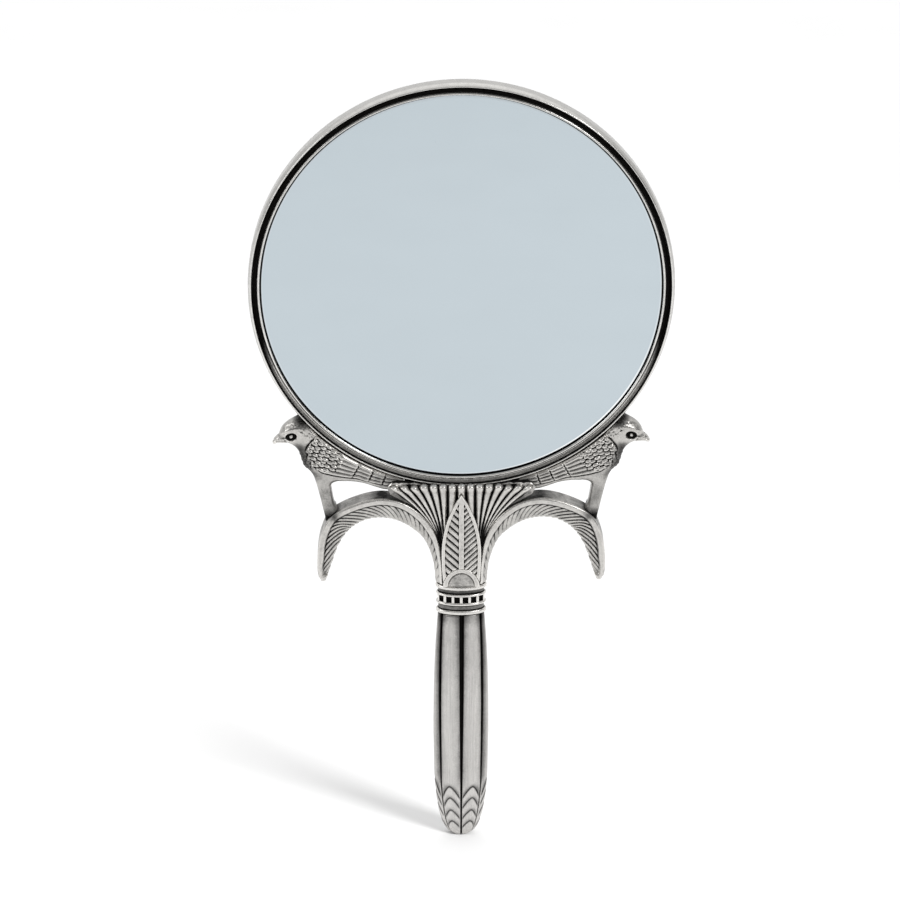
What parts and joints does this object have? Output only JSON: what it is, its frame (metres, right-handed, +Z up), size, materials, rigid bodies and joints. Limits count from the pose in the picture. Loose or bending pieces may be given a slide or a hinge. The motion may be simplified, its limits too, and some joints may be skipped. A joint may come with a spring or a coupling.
{
  "type": "hand mirror",
  "caption": "Round bevelled hand mirror in a cast pewter pan, on a fluted fan neck with arched fronds and perched falcons, a banded collar and a lobed handle.",
  "frame": {"origin": "middle of the handle's grip, 41 mm above the handle's end, on its long axis", "axes": "+Z runs up the handle to the head, the glass faces -Y, +X is to the right as the glass is looked at"},
  "size_m": [0.1364, 0.012, 0.2637],
  "materials": {
    "pewter_cast": "satin cast pewter, black oxide left in the recesses, crests rubbed bright",
    "pewter_polished": "satin pewter with fine lengthwise brushing and dark grooves",
    "silvered_glass": "flat silvered float glass with a ground bevel",
    "card": "brown pulp card",
    "felt": "dark wool felt",
    "steel": "plain drawn steel"
  },
  "bodies": {
    "root": {"head_shell": "pewter_cast", "fan_capital": "pewter_cast", "leaf_front": "pewter_cast", "leaf_rear": "pewter_cast", "frond_left": "pewter_cast", "frond_right": "pewter_cast", "bird_left": "pewter_cast", "bird_right": "pewter_cast", "collar_bottom_ring": "pewter_cast", "collar_sleeve": "pewter_cast", "collar_top_ring": "pewter_cast", "bezel_ring": "pewter_polished", "dome_front": "pewter_polished", "dome_rear": "pewter_polished", "handle": "pewter_polished", "mirror_glass": "silvered_glass", "backing_card": "card", "felt_pad": "felt", "neck_stud": "steel", "head_dowel_left": "steel", "head_dowel_right": "steel", "bird_dowel_left": "steel", "bird_dowel_right": "steel", "foot_dowel_left": "steel", "foot_dowel_right": "steel", "frond_dowel_left": "steel", "frond_dowel_right": "steel"}
  },
  "joints": []
}
